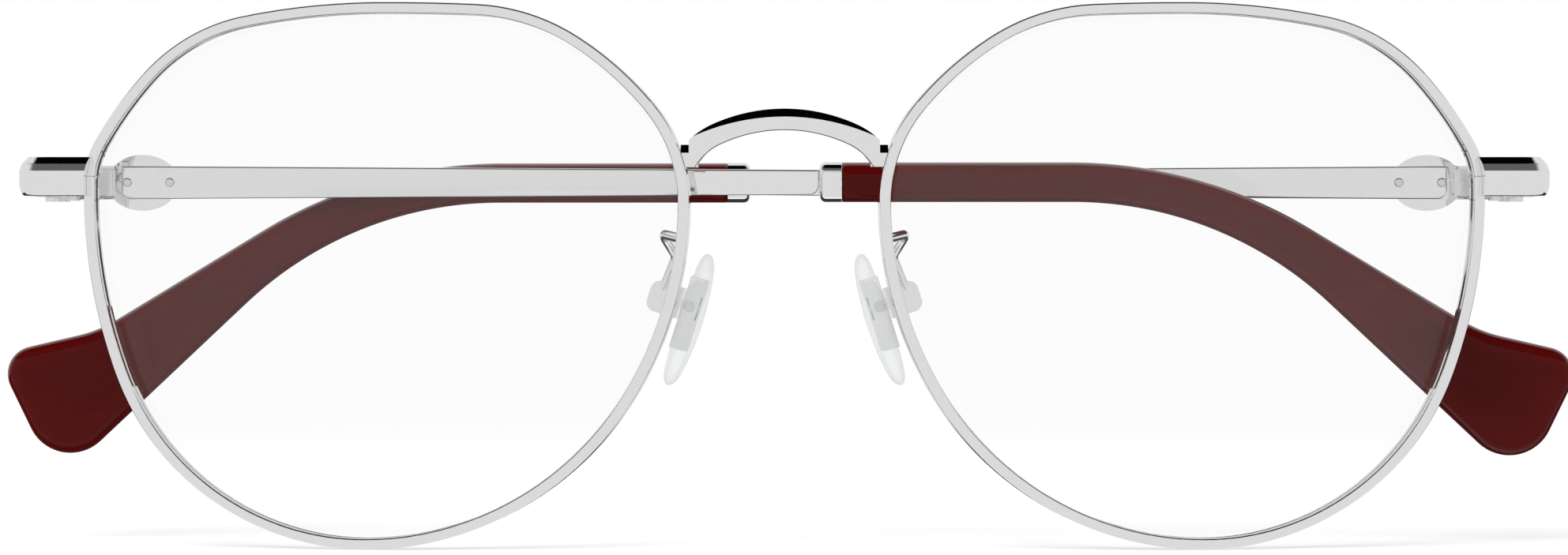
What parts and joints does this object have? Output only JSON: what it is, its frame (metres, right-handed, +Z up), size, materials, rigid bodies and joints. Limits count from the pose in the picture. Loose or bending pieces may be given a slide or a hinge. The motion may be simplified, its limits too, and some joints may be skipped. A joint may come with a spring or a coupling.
{
  "type": "wire eyeglasses",
  "caption": "Metal full-rim eyeglasses with flat-topped round lenses, adjustable nose pads and temples that fold behind the lenses on screw hinges.",
  "frame": {"origin": "midway between the two lenses on their boxing centre line, at the depth of the lens fronts' middles", "axes": "+X to the wearer's left, -Y to the front, +Z up as worn; the temples are stored folded behind the lenses, along X"},
  "size_m": [0.1452, 0.017, 0.0494],
  "materials": {
    "polished_metal": "polished palladium-coloured plating",
    "hinge_metal": "polished, slightly softer",
    "screw_steel": "turned steel",
    "clear_lens": "clear, polished",
    "pad_silicone": "clear soft silicone",
    "burgundy_acetate": "polished burgundy acetate"
  },
  "bodies": {
    "front": {"bridge": "polished_metal", "left_rim": "polished_metal", "left_lens": "clear_lens", "left_end_piece": "polished_metal", "left_upper_closing_block": "polished_metal", "left_lower_closing_block": "polished_metal", "left_closing_screw": "screw_steel", "left_front_hinge_half": "hinge_metal", "left_hinge_screw": "screw_steel", "left_pad_arm": "polished_metal", "left_pad_box": "polished_metal", "right_rim": "polished_metal", "right_lens": "clear_lens", "right_end_piece": "polished_metal", "right_upper_closing_block": "polished_metal", "right_lower_closing_block": "polished_metal", "right_closing_screw": "screw_steel", "right_front_hinge_half": "hinge_metal", "right_hinge_screw": "screw_steel", "right_pad_arm": "polished_metal", "right_pad_box": "polished_metal"},
    "left_temple": {"left_temple_bar": "polished_metal", "left_rear_hinge_half": "hinge_metal", "left_ferrule": "polished_metal", "left_temple_tip": "burgundy_acetate", "left_trim_plate": "polished_metal", "left_trim_rivets": "screw_steel"},
    "left_pad": {"left_pad_core": "hinge_metal", "left_pad_screw": "screw_steel", "left_nose_pad": "pad_silicone"},
    "right_temple": {"right_temple_bar": "polished_metal", "right_rear_hinge_half": "hinge_metal", "right_ferrule": "polished_metal", "right_temple_tip": "burgundy_acetate", "right_trim_plate": "polished_metal", "right_trim_rivets": "screw_steel"},
    "right_pad": {"right_pad_core": "hinge_metal", "right_pad_screw": "screw_steel", "right_nose_pad": "pad_silicone"}
  },
  "joints": [
    {"name": "right_temple_hinge", "type": "hinge", "parent": "front", "child": "right_temple", "pos_m": [-0.06701, 0.01056, 0.00865], "axis": [0, 0, 1], "range_deg": [0, 91.07]},
    {"name": "left_temple_hinge", "type": "hinge", "parent": "front", "child": "left_temple", "pos_m": [0.06701, 0.01056, 0.00865], "axis": [0, 0, -1], "range_deg": [0, 88.93]},
    {"name": "right_pad_rock", "type": "hinge", "parent": "front", "child": "right_pad", "pos_m": [-0.0085, 0.0086, -0.00285], "axis": [-0.0665, -0.9976, 0.0211], "range_deg": [-8, 8]},
    {"name": "left_pad_rock", "type": "hinge", "parent": "front", "child": "left_pad", "pos_m": [0.0085, 0.0086, -0.00285], "axis": [0.0665, -0.9976, 0.0211], "range_deg": [-8, 8]}
  ]
}
